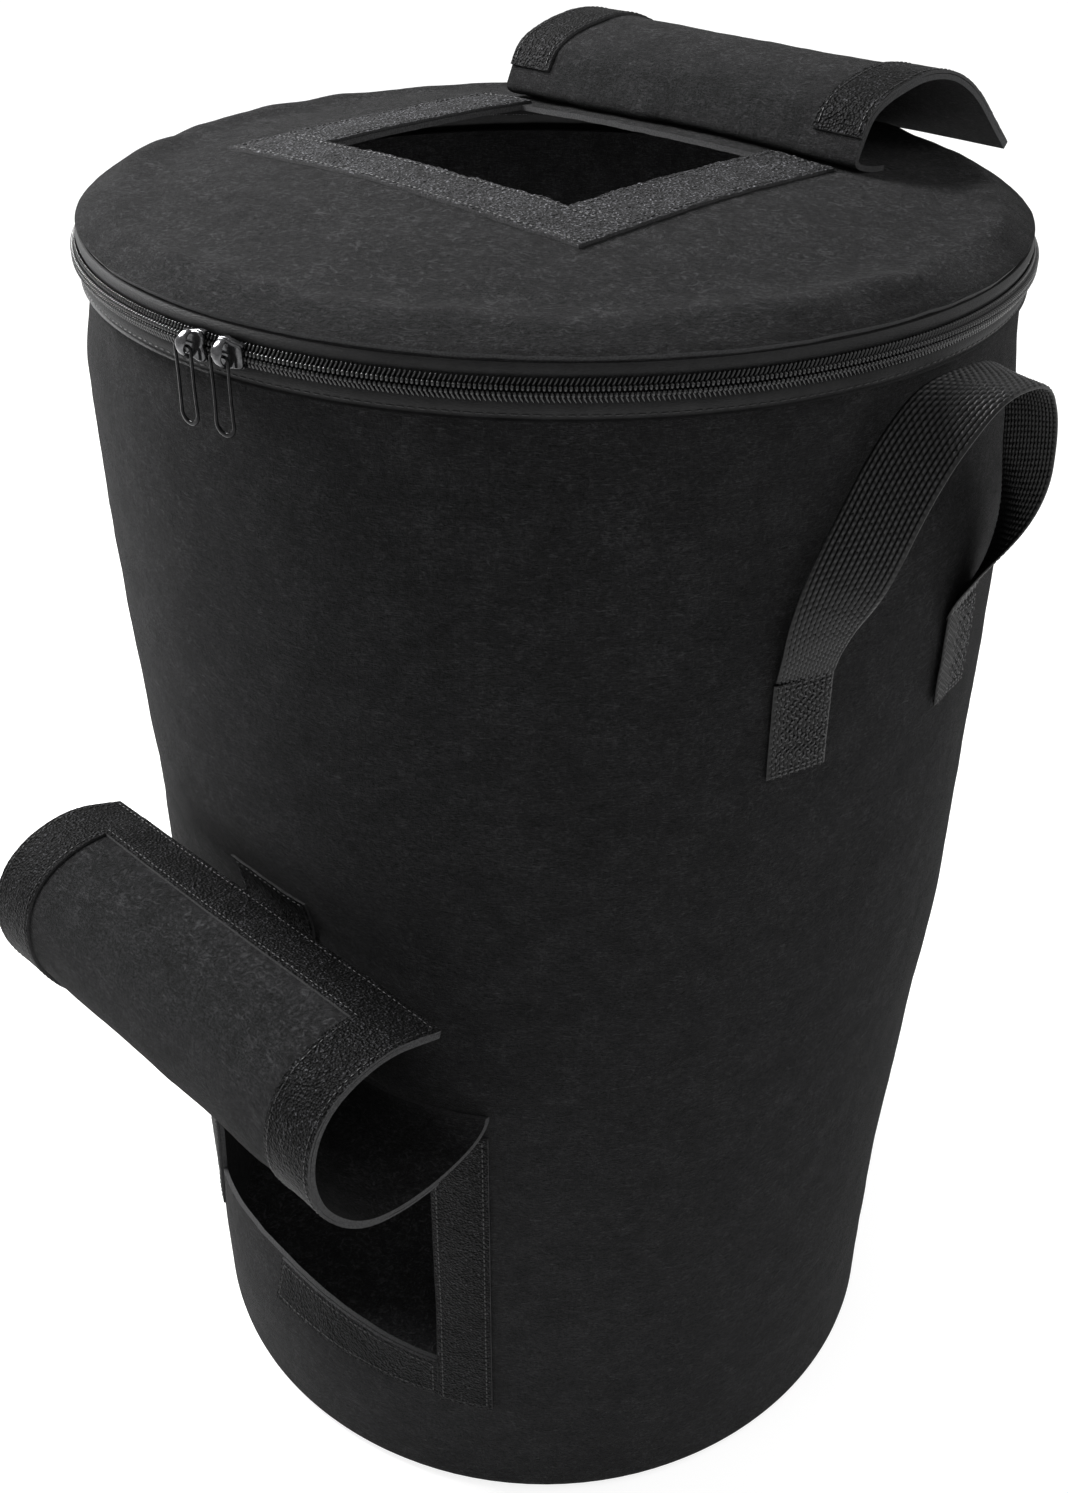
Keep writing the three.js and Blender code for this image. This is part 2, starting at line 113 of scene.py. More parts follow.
def value_noise(p):
    """Smooth noise from -1 to 1 at points p, one unit per cell."""
    base = np.floor(p).astype(int)
    t = smooth(p - base)
    total = np.zeros(p.shape[:-1])
    for corner in itertools.product((0, 1), repeat=3):
        weight = np.abs(1 - np.array(corner) - t).prod(-1)
        total += weight * NOISE_TABLE[((base + corner) * NOISE_STEPS).sum(-1) & 4095]
    return 2 * total - 1


def layered(p, cell, layers=3):
    """Noise of several sizes, the largest cell first."""
    return sum(value_noise(p / cell * 2 ** k + 17.3 * k) / 2 ** k for k in range(layers))


def unit(v):
    return v / np.maximum(np.linalg.norm(v, axis=-1, keepdims=True), 1e-12)


def around(angle, radius, z):
    """Points at angles in degrees from the front, anticlockwise from above."""
    angle, radius, z = np.broadcast_arrays(np.radians(angle), radius, z)
    return np.stack([radius * np.sin(angle), -radius * np.cos(angle), z], axis=-1)


def hump(angle, middle, span):
    """1 at the middle angle, falling to 0 from span degrees away."""
    away = np.abs((np.asarray(angle, float) - middle + 180) % 360 - 180)
    return np.where(away < span, np.cos(away / span * math.pi / 2) ** 2, 0)


def wall_radius(angle, z):
    """Outside of the wall: a slight taper, flattened round the window, with soft bulges."""
    upward = smooth((z - 0.04) / 0.08) * (1 - smooth((z - 0.30) / 0.05))
    radius = BASE_RADIUS + (TOP_RADIUS - BASE_RADIUS) * z / TAPER_TOP
    radius = radius - SAG * hump(angle, 0, SAG_SPAN) * upward
    for middle, span, out, (start, full, fade, end) in BULGES:
        upward = smooth((z - start) / (full - start)) * (1 - smooth((z - fade) / (end - fade)))
        radius = radius + out * hump(angle, middle, span) * upward
    return radius


def lid_height(x, y):
    """The lid's upper face: a low dome whose edge rolls over the zip tape."""
    r = np.minimum(np.hypot(x, y) / LID_RADIUS, 1)
    return LID_RIM + LID_RISE * (1 - r ** 2.4) + LID_SHOULDER * (1 - r ** 14)


# ---- Mesh building ----

def add(name, data):
    obj = bpy.data.objects.new(name, data)
    bpy.context.collection.objects.link(obj)
    return obj


def make_object(name, points, faces, look, sharp=40):
    mesh = bpy.data.meshes.new(name)
    mesh.from_pydata(np.asarray(points, float).tolist(), [], [list(f) for f in faces])
    mesh.polygons.foreach_set("use_smooth", [True] * len(mesh.polygons))
    mesh.set_sharp_from_angle(angle=math.radians(sharp))
    mesh.materials.append(LOOK[look])
    turn_outward(mesh)
    return add(name, mesh)


def shell_arrays(over, under, mask=None, loop=False):
    """Points and faces of a closed sheet between two grids; mask says which cells are there."""
    nu, nv = over.shape[:2]
    cells_u = nu if loop else nu - 1
    cells = np.ones((cells_u, nv - 1), bool) if mask is None else mask
    index = np.arange(nu * nv).reshape(nu, nv)
    if loop:
        index = np.vstack([index, index[:1]])
    a, b = index[:-1, :-1], index[1:, :-1]
    c, d = index[1:, 1:], index[:-1, 1:]
    offset = nu * nv
    top = np.stack([a, b, c, d], -1)[cells]
    bottom = np.stack([d, c, b, a], -1)[cells] + offset
    wide = np.zeros((cells.shape[0] + 2, cells.shape[1] + 2), bool)
    wide[1:-1, 1:-1] = cells
    if loop:
        wide[0, 1:-1] = cells[-1]
        wide[-1, 1:-1] = cells[0]
    sides = []
    for missing, p, q in ((~wide[:-2, 1:-1], d, a), (~wide[2:, 1:-1], b, c),
                          (~wide[1:-1, :-2], a, b), (~wide[1:-1, 2:], c, d)):
        edge = cells & missing
        sides.append(np.stack([q[edge], p[edge], p[edge] + offset, q[edge] + offset], -1))
    faces = np.vstack([top, bottom, *sides])
    points = np.vstack([over.reshape(-1, 3), under.reshape(-1, 3)])
    used = np.unique(faces)
    renumber = np.full(len(points), -1)
    renumber[used] = np.arange(len(used))
    return points[used], renumber[faces], sum(len(side) for side in sides)


def shell(name, over, under, look, mask=None, loop=False, sharp=40, rim=False):
    """A closed sheet between two grids; rim says whether it shows cut edges."""
    points, faces, rim_faces = shell_arrays(over, under, mask, loop)
    obj = make_object(name, points, faces, look, sharp)
    if rim:
        obj.data.materials.append(LOOK["edge"])
        which = np.arange(len(faces)) >= len(faces) - rim_faces
        obj.data.polygons.foreach_set("material_index", which.astype(int))
    return obj


def turn_outward(mesh):
    """Flip the faces of a closed mesh if they point inward."""
    points = np.zeros(len(mesh.vertices) * 3)
    mesh.vertices.foreach_get("co", points)
    points = points.reshape(-1, 3)
    mesh.calc_loop_triangles()
    triangles = np.zeros(len(mesh.loop_triangles) * 3, int)
    mesh.loop_triangles.foreach_get("vertices", triangles)
    a, b, c = (points[triangles.reshape(-1, 3)[:, k]] for k in range(3))
    if np.einsum("ij,ij->i", a, np.cross(b, c)).sum() < 0:
        mesh.flip_normals()


def loop_normals(points):
    """Unit normals of a grid of points whose first index goes round."""
    du = np.roll(points, -1, 0) - np.roll(points, 1, 0)
    return unit(np.cross(du, np.gradient(points, axis=1)))


def lumps(name, centres, along, across, up, look, length, width, height, rounds=6):
    """Many small rounded bars, one for each centre: stitches or zip teeth."""
    rings = 4
    u, w = np.meshgrid(np.linspace(0, math.pi, rings + 2)[1:-1],
                       np.linspace(0, 2 * math.pi, rounds, endpoint=False), indexing="ij")
    girth = np.sin(u) ** 0.5
    middle = np.stack([-np.cos(u), girth * np.cos(w), girth * np.sin(w)], -1).reshape(-1, 3)
    shape = np.vstack([[-1, 0, 0], middle, [1, 0, 0]]) * (length / 2, width / 2, height / 2)
    last = len(shape) - 1
    faces = []
    for k in range(rounds):
        step = (k + 1) % rounds
        faces += [[0, 1 + step, 1 + k], [last, last - rounds + k, last - rounds + step]]
        for first in range(1, last - rounds, rounds):
            faces.append([first + k, first + step, first + step + rounds, first + k + rounds])
    basis = np.stack([along, across, up], axis=1)
    points = centres[:, None, :] + np.einsum("pk,nkj->npj", shape, basis)
    starts = np.arange(len(centres))[:, None] * len(shape)
    polygons = [polygon for face in faces for polygon in (starts + face).tolist()]
    return make_object(name, points.reshape(-1, 3), polygons, look, sharp=180)


def join(name, *objects):
    """One object from several, keeping each one's materials."""
    bpy.ops.object.select_all(action="DESELECT")
    for obj in objects:
        obj.select_set(True)
    bpy.context.view_layer.objects.active = objects[0]
    if len(objects) > 1:
        bpy.ops.object.join()
    objects[0].name = name
    objects[0].data.name = name
    return objects[0]


def distances(path):
    """How far along a path each of its points is."""
    return np.concatenate([[0], np.cumsum(np.linalg.norm(np.diff(path, axis=0), axis=1))])


def interpolated(at, run, values):
    """Rows of three values at other distances than run."""
    return np.stack([np.interp(at, run, values[:, k]) for k in range(3)], -1)


def stitches(name, path, normal, look="thread", pitch=0.0032, thread=0.0005, duty=0.72):
    """A row of machine stitches along a path; normal is the cloth's, one for each path point."""
    run = distances(path)
    count = max(2, int(run[-1] / pitch))
    at = (np.arange(count) + 0.5) * run[-1] / count
    ahead, behind = (interpolated(at + way * pitch * 0.1, run, path) for way in (1, -1))
    along = unit(ahead - behind)
    up = unit(interpolated(at, run, normal))
    across = unit(np.cross(up, along))
    up = np.cross(along, across)
    return lumps(name, interpolated(at, run, path) + up * thread * 0.15, along, across, up, look,
                 pitch * duty, thread, thread * 0.8)


# ---- Materials ----

def new_material(name, roughness, specular=0.3, sheen=0.0, metallic=0.0, coat=0.0):
    material = bpy.data.materials.new(name)
    material.use_nodes = True
    shader = material.node_tree.nodes["Principled BSDF"]
    for socket, value in (("Roughness", roughness), ("Specular IOR Level", specular), ("Sheen Weight", sheen),
                          ("Sheen Roughness", 0.45), ("Metallic", metallic), ("Coat Weight", coat)):
        shader.inputs[socket].default_value = value
    return material, material.node_tree


def texture(tree, kind, scale, source=None, **values):
    node = tree.nodes.new(f"ShaderNodeTex{kind}")
    if source is None:
        source = tree.nodes.new("ShaderNodeTexCoord").outputs["Object"]
    tree.links.new(source, node.inputs["Vector"])
    node.inputs["Scale"].default_value = scale
    for key, value in values.items():
        node.inputs[key].default_value = value
    return node.outputs


def stretched(tree, scale, turn=(0, 0, 0)):
    place = tree.nodes.new("ShaderNodeTexCoord")
    mapping = tree.nodes.new("ShaderNodeMapping")
    mapping.inputs["Scale"].default_value = scale
    mapping.inputs["Rotation"].default_value = turn
    tree.links.new(place.outputs["Object"], mapping.inputs["Vector"])
    return mapping.outputs["Vector"]


def ramp(tree, source, *stops, blue=1.04):
    """Greys between stops (place, value), with a slightly stronger blue."""
    node = tree.nodes.new("ShaderNodeValToRGB")
    elements = node.color_ramp.elements
    while len(elements) < len(stops):
        elements.new(0.5)
    for element, (place, value) in zip(elements, stops):
        element.position = place
        element.color = (value, value, value * blue, 1)
    tree.links.new(source, node.inputs["Fac"])
    return node.outputs["Color"]


def mixed(tree, a, b, factor, blend="MIX"):
    node = tree.nodes.new("ShaderNodeMix")
    node.data_type = "RGBA"
    node.blend_type = blend
    node.inputs[0].default_value = factor
    tree.links.new(a, node.inputs[6])
    tree.links.new(b, node.inputs[7])
    return node.outputs[2]


def finished(material, colour, *bumps):
    """The material with its colour and bumps, each (height, strength, metres), the coarsest first."""
    tree = material.node_tree
    shader = tree.nodes["Principled BSDF"]
    tree.links.new(colour, shader.inputs["Base Color"])
    into = shader.inputs["Normal"]
    for height, strength, distance in reversed(bumps):
        node = tree.nodes.new("ShaderNodeBump")
        node.inputs["Strength"].default_value = strength
        node.inputs["Distance"].default_value = distance
        tree.links.new(height, node.inputs["Height"])
        tree.links.new(node.outputs["Normal"], into)
        into = node.inputs["Normal"]
    return material


def speckled(name, roughness, scale, low, high, strength, metres=0.0002, detail=2.0, uneven=0.5, **values):
    """A material with one noise that shades and roughens it; low and high are ramp stops."""
    material, tree = new_material(name, roughness, **values)
    grain = texture(tree, "Noise", scale, Detail=detail, Roughness=uneven)["Fac"]
    return finished(material, ramp(tree, grain, low, high), (grain, strength, metres))


def felt_material():
    """Needle-punched felt: a mottled mat of short matted fibres."""
    material, tree = new_material("felt", 0.92, specular=0.07, sheen=0.03)
    cloud = texture(tree, "Noise", 70, Detail=5.0, Roughness=0.65)
    fuzz = texture(tree, "Noise", 430, Detail=7.0, Roughness=0.75, Distortion=1.5)
    fibres = [texture(tree, "Noise", 1.0, stretched(tree, scale, turn), Detail=3.0, Distortion=2.5)
              for scale, turn in (((220, 220, 1500), (0.5, 0.9, 0.4)), ((1400, 260, 220), (0.8, 0.3, 1.1)))]
    hairs = mixed(tree, fibres[0]["Color"], fibres[1]["Color"], 0.5, "LIGHTEN")
    mottle = mixed(tree, mixed(tree, cloud["Color"], fuzz["Color"], 0.7), hairs, 0.5)
    return finished(material, ramp(tree, mottle, (0.42, 0.0015), (0.52, 0.0100), (0.63, 0.042)),
                    (cloud["Fac"], 0.6, 0.0026), (fuzz["Fac"], 0.9, 0.0016),
                    (hairs, 0.7, 0.0009))


def strip_material(name, greys, roughness, specular, sheen, relief_height):
    """Hook or loop tape: a field of tiny hooks, with their glints painted into the base colour as bright
    specks.
    """
    material, tree = new_material(name, roughness, specular=specular, sheen=sheen)
    hooks = texture(tree, "Voronoi", 900, Randomness=0.9)
    grain = texture(tree, "Noise", 1100, Detail=2.0, Roughness=0.6)
    broad = texture(tree, "Noise", 90, Detail=3.0)
    # Painted glints: the upper stops of greys give bright specks where the hooks would catch the light.
    painted_glints = ramp(tree, grain["Fac"], *zip((0.44, 0.53, 0.60, 0.70), greys))
    worn = ramp(tree, broad["Fac"], (0.35, 0.6), (0.65, 1.0))
    return finished(material, mixed(tree, painted_glints, worn, 1.0, "MULTIPLY"),
                    (grain["Fac"], 0.9, relief_height), (hooks["Distance"], 0.9, 0.0007))


def webbing_material():
    """Woven webbing: painted shade between the raised floats of the weave, and painted highlights on top of
    them.
    """
    material, tree = new_material("webbing", 0.42, specular=0.28)
    grain = texture(tree, "Noise", 2400, Detail=4.0)
    broad = texture(tree, "Noise", 130, Detail=3.0)
    woven = tree.nodes.new("ShaderNodeAttribute")
    woven.attribute_name = "float_height"
    # Painted shade and highlight: nearly black where the floats are low, pale at their tops.
    painted_float_light = ramp(tree, woven.outputs["Fac"], (0.30, 0.0003), (0.65, 0.003), (0.95, 0.028))
    worn = mixed(tree, grain["Color"], broad["Color"], 0.5)
    worn = ramp(tree, worn, (0.35, 0.35), (0.65, 1.0))
    return finished(material, mixed(tree, painted_float_light, worn, 1.0, "MULTIPLY"), (grain["Fac"], 0.4, 0.0003))


def tape_material():
    """The zip's woven tape, finely ribbed across."""
    material, tree = new_material("zip_tape", 0.6, specular=0.2, sheen=0.02)
    weave = texture(tree, "Noise", 1.0, stretched(tree, (900, 900, 3200)), Detail=3.0)
    broad = texture(tree, "Noise", 160, Detail=3.0)
    colour = ramp(tree, mixed(tree, weave["Color"], broad["Color"], 0.4),
                  (0.35, 0.003), (0.65, 0.014))
    return finished(material, colour, (weave["Fac"], 0.6, 0.0004))


def coil_material():
    return speckled("zip_coil", 0.22, 300, (0.3, 0.003), (0.7, 0.010), 0.1, detail=3.0, specular=0.55)


def metal_material(name, low, high, coat):
    return speckled(name, 0.16, 420, (0.35, low), (0.7, high), 0.12, detail=5.0, uneven=0.65,
                    specular=0.5, metallic=0.9, coat=coat)


def thread_material(name, low, high):
    return speckled(name, 0.45, 2600, (0.35, low), (0.65, high), 0.3, specular=0.35)


def edge_material():
    """The cut edge of felt or tape: paler than the felt's faces."""
    return speckled("cut_edge", 0.8, 1800, (0.35, 0.008), (0.65, 0.036), 0.5, 0.0004, detail=4.0,
                    specular=0.25, sheen=0.08)


LOOK = {"felt": felt_material(),
        # Each strip's top grey paints its glints. The hook strip's brighter greys paint the key light's
        # glints on the lid's strips.
        "strip": strip_material("loop_strip", (0.0002, 0.001, 0.007, 0.045), 0.55, 0.05, 0.01, 0.0004),
        "hook": strip_material("hook_strip", (0.005, 0.014, 0.040, 0.150), 0.8, 0.12, 0.02, 0.0010),
        "webbing": webbing_material(),
        "tape": tape_material(),
        "coil": coil_material(),
        "metal": metal_material("slider_metal", 0.035, 0.12, 0.25),
        # The pulls' metal: a darker copy of the slider metal, painted shade so that their wire legs look dim.
        "wire": metal_material("pull_wire", 0.003, 0.016, 0.05),
        "thread": thread_material("thread", 0.004, 0.018),
        "zigzag": thread_material("zigzag_thread", 0.002, 0.060),
        "edge": edge_material()}


def settle(obj, body, look, *nodes):
    """Ride and stand-in of a piece on one body."""
    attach(obj, body)
    if nodes:
        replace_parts(obj, *nodes)
    return obj


# ---- Camera, light and floor ----

def make_camera():
    """The photograph's view: from above the right-hand front, fairly close."""
    place = Vector((0.4406, -0.4563, 0.7173))
    forward = Vector((-0.5844, 0.6051, -0.5406)).normalized()
    level = forward.cross(Vector((0, 0, 1))).normalized()
    roll = 0.0116
    right = level * math.cos(roll) + level.cross(forward) * math.sin(roll)
    up = right.cross(forward)
    data = bpy.data.cameras.new("camera")
    data.sensor_width = 36.0
    data.lens = 40.4
    data.shift_x = -0.0099
    data.shift_y = -0.0075
    data.clip_start, data.clip_end = 0.01, 100.0
    camera = add("camera", data)
    camera.matrix_world = Matrix.Translation(place) @ Matrix((right, up, -forward)).transposed().to_4x4()
    bpy.context.scene.camera = camera


def area_light(name, place, target, size, power):
    data = bpy.data.lights.new(name, "AREA")
    data.shape = "DISK"
    data.size = size
    data.energy = power
    light = add(name, data)
    light.location = place
    light.rotation_mode = "QUATERNION"
    light.rotation_quaternion = (Vector(target) - Vector(place)).to_track_quat("-Z", "Y")


def make_studio():
    world = bpy.data.worlds.new("studio")
    world.use_nodes = True
    sky = world.node_tree.nodes["Background"]
    sky.inputs["Color"].default_value = (1, 1, 1, 1)
    sky.inputs["Strength"].default_value = 0.60
    bpy.context.scene.world = world
    bpy.context.scene.view_settings.view_transform = "Standard"
    middle = (0, 0, 0.3)
    area_light("key", (-1.05, -0.38, 1.40), middle, 0.8, 70)
    area_light("side", (1.15, 1.25, 1.45), middle, 1.2, 9)
    inside = add("inside", bpy.data.lights.new("inside", "POINT"))
    inside.data.energy = 1.1
    inside.data.shadow_soft_size = 0.05
    inside.location = (0, 0, 0.36)
    inside.visible_camera = False
    bpy.ops.mesh.primitive_circle_add(vertices=96, radius=40, fill_type="NGON")
    floor = bpy.context.object
    floor.name = "floor"
    material, tree = new_material("floor", 0.9, specular=0.1)
    grain = texture(tree, "Noise", 8)
    shader = tree.nodes["Principled BSDF"]
    shader.inputs["Emission Color"].default_value = (1, 1, 1, 1)
    shader.inputs["Emission Strength"].default_value = 0.8
    pale = ramp(tree, grain["Fac"], (0.3, 0.38), (0.7, 0.40), blue=1.0)
    floor.data.materials.append(finished(material, pale))


# ---- Felt wall and base ----

def relief(points, amount, cell, seed=0.0):
    """Small rises and hollows of a felt surface."""
    return amount * layered(points + seed, cell)


def fine_steps(low, *stops):
    """Values from stop to stop: (end value, number of steps) after the first."""
    values = [low]
    for high, count in stops:
        values += list(np.linspace(values[-1], high, count + 1)[1:])
    return np.array(values)


def wall_point(angle, z, lift=0.0):
    """A point on the wall's outside with all its waves, stood off by lift."""
    angle, z = np.broadcast_arrays(np.asarray(angle, float), np.asarray(z, float))
    middle = around(angle, wall_radius(angle, z), z)
    spread = relief(middle, 0.0009, 0.09) + relief(middle, 0.00022, 0.012, 5.0)
    rolled = 0.004 * np.clip(1 - z / 0.006, 0, 1) ** 2
    overlap = 0.0016 * (np.abs(np.abs(angle) - 180) < BACK_SEAM)
    stand = wall_radius(angle, z) - rolled + overlap
    return around(angle, stand + spread * smooth(z / 0.03) + lift, z)


def make_wall():
    angles = np.arange(-180.0, 180.0, 1.0)
    heights = fine_steps(0.0003, (0.006, 4), (WINDOW_LOW, 28), (WINDOW_HIGH, 46), (WALL_TOP, 108))
    angle, z = np.meshgrid(angles, heights, indexing="ij")
    cells = np.ones((len(angles), len(heights) - 1), bool)
    across = np.abs(angles + 0.5) < WINDOW_ANGLE
    upward = (heights[:-1] >= WINDOW_LOW - 1e-6) & (heights[1:] <= WINDOW_HIGH + 1e-6)
    cells[np.ix_(across, upward)] = False
    wall = shell("wall_felt", wall_point(angle, z), wall_point(angle, z, -FELT), "felt", cells,
                 loop=True, rim=True)
    rows = []
    z = np.linspace(0.012, 0.520, 300)
    for k, angle in enumerate((180 - BACK_SEAM + 1.6, 180 + BACK_SEAM - 1.6)):
        rows.append(stitches(f"wall_seam_{k}", wall_point(angle, z, 0.0004), around(angle, 1.0, 0 * z)))
    wall = join("wall_felt", wall, *rows)
    settle(wall, "bag", "felt", "wall_panel")


def make_base():
    """A felt disc as polar grids; the middle is a tiny hole closed by its own wall."""
    radius = BASE_RADIUS - FELT - 0.0005
    angle, r = np.meshgrid(np.arange(0, 360, 3.0), np.linspace(0.0006, radius, 40), indexing="ij")
    over = around(angle, r, FELT)
    over[..., 2] += relief(over, 0.0004, 0.03, 2.0) * smooth((radius - r) / 0.02)
    base = shell("base_felt", over, around(angle, r, 0.0002), "felt", loop=True)
    settle(base, "bag", "felt", "base_panel")


# ---- Lid ----

def lid_surface(x, y):
    """The lid's upper face with its puffed rim and the small pillows along the seam."""
    r = np.hypot(x, y)
    turn = np.degrees(np.arctan2(x, -y))
    middle, width, height = LID_PUFF
    waves = value_noise(np.stack([turn / 14.0, r * 30, np.zeros_like(r)], -1))
    ripples = value_noise(np.stack([turn / 5.5, r * 60, np.ones_like(r)], -1))
    puff = np.exp(-((r - middle) / width) ** 2) * (height + 0.0013 * waves + 0.0009 * ripples)
    return lid_height(x, y) + puff - 0.0006 * smooth((r - 0.1715) / 0.0025)


def rectangle_edge(angle, half_x, half_y):
    """Distance from the middle of a rectangle to its edge at each angle."""
    c, s = np.abs(np.cos(angle)), np.abs(np.sin(angle))
    return 1 / np.maximum(c / half_x, s / half_y)


def lid_top(x, y):
    """The lid's upper face with all its waves."""
    flat = np.stack([x, y, np.zeros_like(x)], -1)
    inside = smooth((LID_RADIUS - np.hypot(x, y)) / 0.02)
    return lid_surface(x, y) + relief(flat, 0.0007, 0.07, 3.0) * inside + relief(flat, 0.00025, 0.011, 8.0)


def make_lid():
    cx, cy, hx, hy = OPENING
    corner = math.atan2(hy, hx)
    turns = (-corner, corner, math.pi - corner, math.pi + corner, 2 * math.pi - corner)
    angles = np.concatenate([np.linspace(a, b, 91)[:-1] for a, b in itertools.pairwise(turns)])
    inward = np.linspace(0, 1, 86)
    angle, s = np.meshgrid(angles, inward, indexing="ij")
    edge = rectangle_edge(angle, hx, hy)
    inner_x, inner_y = cx + edge * np.cos(angle), cy + edge * np.sin(angle)
    turn = np.arctan2(inner_y, inner_x)
    outer_x, outer_y = LID_RADIUS * np.cos(turn), LID_RADIUS * np.sin(turn)
    x = inner_x + (outer_x - inner_x) * s
    y = inner_y + (outer_y - inner_y) * s
    over = np.stack([x, y, lid_top(x, y)], -1)
    normals = loop_normals(over)
    under = over - normals * np.sign(normals[..., 2:]) * FELT
    lid = shell("lid_felt", over, under, "felt", loop=True, rim=True)
    settle(lid, "lid", "felt", "lid_panel")


# ---- Zip ----

def ribbon(name, start, end, section, look, thick):
    """A band round the bag; section is a list of (radius, z) from its lower to its upper edge."""
    angles = np.linspace(start, end, int(abs(end - start) / 0.5) + 1)
    radius, z = np.array(section).T
    over, under = (around(angles[:, None], radius - inward, z) for inward in (0, thick))
    return shell(name, over, under, look, sharp=50)


def lip(low, high, swell, steps=8, radius=TAPE_RADIUS + 0.0011):
    """The section of a tape that bows outward between its two edges."""
    t = np.linspace(0, 1, steps + 1)
    return [(radius + swell * math.sin(math.pi * u), low + (high - low) * u) for u in t]


def row_of_stitches(name, start, end, radius, z):
    angles = np.linspace(start, end, 400)
    return stitches(name, around(angles, radius, z), around(angles, 1.0, 0.0), pitch=0.0034)


def coil_row(name, side):
    """One half of the coil: slanted teeth, with a bright round head where each turns over."""
    count = int(math.radians(2 * ZIP_END) * COIL_RADIUS / COIL_PITCH)
    angles = np.linspace(-ZIP_END + 1.6, ZIP_END - 1.6, count) + side * 0.5 * ZIP_END / count
    out, along = around(angles, 1.0, 0.0), around(angles + 90, 1.0, 0.0)
    up = np.zeros_like(out) + (0, 0, 1)
    slant = unit(side * up + along * 0.5)
    across = unit(np.cross(out, slant))
    middles = out * (COIL_RADIUS - 0.0004) + up * (ZIP_HEIGHT + side * 0.0021)
    teeth = lumps("teeth", middles, slant, across, out, "coil", 0.0042, 0.00085, 0.0018)
    middles = out * (COIL_RADIUS + 0.0005) + up * (ZIP_HEIGHT + side * 0.00095)
    heads = lumps("heads", middles, along, up, out, "coil", 0.00115, 0.0021, 0.0026)
    return join(name, teeth, heads)


def make_zip():
    behind = TAPE_RADIUS + 0.0008
    slit, fold = 0.0001, 0.0034  # from the zip's middle to each tape's edge and to its lip
    below = [(behind + 0.0012, 0.5302), *lip(0.5306, ZIP_HEIGHT - fold, 0.0009), (behind, ZIP_HEIGHT - slit)]
    above = [(behind, ZIP_HEIGHT + slit), *lip(ZIP_HEIGHT + fold, 0.5478, 0.0008)]
    for place, row, body, section, seam in (
            ("below", "lower", "bag", below, (TAPE_RADIUS + 0.0018, 0.5322)),
            ("above", "upper", "lid", above, (TAPE_RADIUS + 0.0012, 0.5466))):
        tape = ribbon(f"zip_tape_{place}", -ZIP_END, ZIP_END, section, "tape", 0.0008)
        sewn = row_of_stitches(f"zip_seam_{place}", -ZIP_END, ZIP_END, *seam)
        settle(join(tape.name, tape, sewn), body, "tape", f"zip_tape_{row}")
    for row, body, side in (("lower", "bag", -1), ("upper", "lid", 1)):
        settle(coil_row(f"zip_teeth_{body}", side), body, "coil", f"zip_coil_{row}")


# ---- Felt hinge ----

def make_hinge_felt():
    """One strip of felt at the back, standing in for both halves of the hinge."""
    start, end = ZIP_END + 0.3, 360 - ZIP_END - 0.3
    strip = ribbon("hinge_felt", start, end, lip(0.5245, 0.5472, 0.0006, 30, TAPE_RADIUS + 0.0022),
                   "felt", 0.0022)
    seams = [row_of_stitches(f"hinge_seam_{k}", start + 0.8, end - 0.8, TAPE_RADIUS + 0.0026, z)
             for k, z in enumerate((0.5268, 0.5450))]
    strip = join("hinge_felt", strip, *seams)
    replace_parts(strip, "hinge_felt_lower", "hinge_felt_upper")
    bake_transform(strip)


# ---- Hook strips on the lid and the wall ----

def hook_surface(points, normals, coarse):
    """The bristly face of a strip: fine random rises along its normals."""
    rise = 0.00026 * (value_noise(points / 0.0018) + value_noise(points / 0.0010 + 9))
    return points + normals * coarse * rise[..., None]


def spaced(low, high, pitch):
    return np.linspace(low, high, max(2, int(abs(high - low) / pitch) + 1))


def strip_seams(name, place, corners, inset):
    """Stitch rows inside the edges of a rectangle; place(u, v) gives points and normals."""
    (a, b), (c, d) = (np.array(pair) + (by, -by) for pair, by in zip(corners, inset))
    rows = []
    for k, (p, q) in enumerate(itertools.pairwise(((a, c), (b, c), (b, d), (a, d), (a, c)))):
        points, normals = place(np.linspace(p[0], q[0], 60), np.linspace(p[1], q[1], 60))
        rows.append(stitches(f"{name}_seam_{k}", points, normals, pitch=STRIP_STITCH, thread=STRIP_THREAD))
    return rows


def sewn_strip(name, look, place, corners, inset, pitch, coarse):
    """A strip with its stitches; place(u, v, lift) gives points and normals."""
    u, v = np.meshgrid(*(spaced(*pair, step) for pair, step in zip(corners, pitch)), indexing="ij")
    over, normals = place(u, v)
    under, _ = place(u, v, 0.0001)
    strip = shell(name, hook_surface(over, normals, coarse), under, look, rim=True)
    return join(name, strip, *strip_seams(name, place, corners, inset))


def lid_strip(side, *corners):
    def place(x, y, lift=0.0002 + STRIP):
        points = np.stack([x, y, lid_top(x, y) + lift], -1)
        return points, np.zeros_like(points) + (0, 0, 1)

    strip = sewn_strip(f"lid_strip_{side}", "hook", place, corners, [STRIP_INSET] * 2, [0.0008] * 2, 1.0)
    settle(strip, "lid", "hook", f"lid_hook_{side}")


def wall_strip(name, node, *corners):
    def place(angle, z, lift=0.0002 + STRIP):
        return wall_point(angle, z, lift), around(angle, 1.0, np.zeros_like(z))

    inset, pitch = ((math.degrees(size / BASE_RADIUS), size) for size in (STRIP_INSET, 0.0008))
    settle(sewn_strip(name, "strip", place, corners, inset, pitch, 0.4), "bag", "strip", node)


def make_lid_strips():
    cx, cy, hx, hy = OPENING
    out = hx + HOOK_SIDE
    front = cy - hy - 0.0003
    lid_strip("front", (cx - out, cx + out), (front - HOOK_FRONT, front))
    lid_strip("left", (cx - out, cx - hx - 0.0003), (front + 0.0002, HOOK_BACK))
    lid_strip("right", (cx + hx + 0.0003, cx + out), (front + 0.0002, HOOK_BACK))


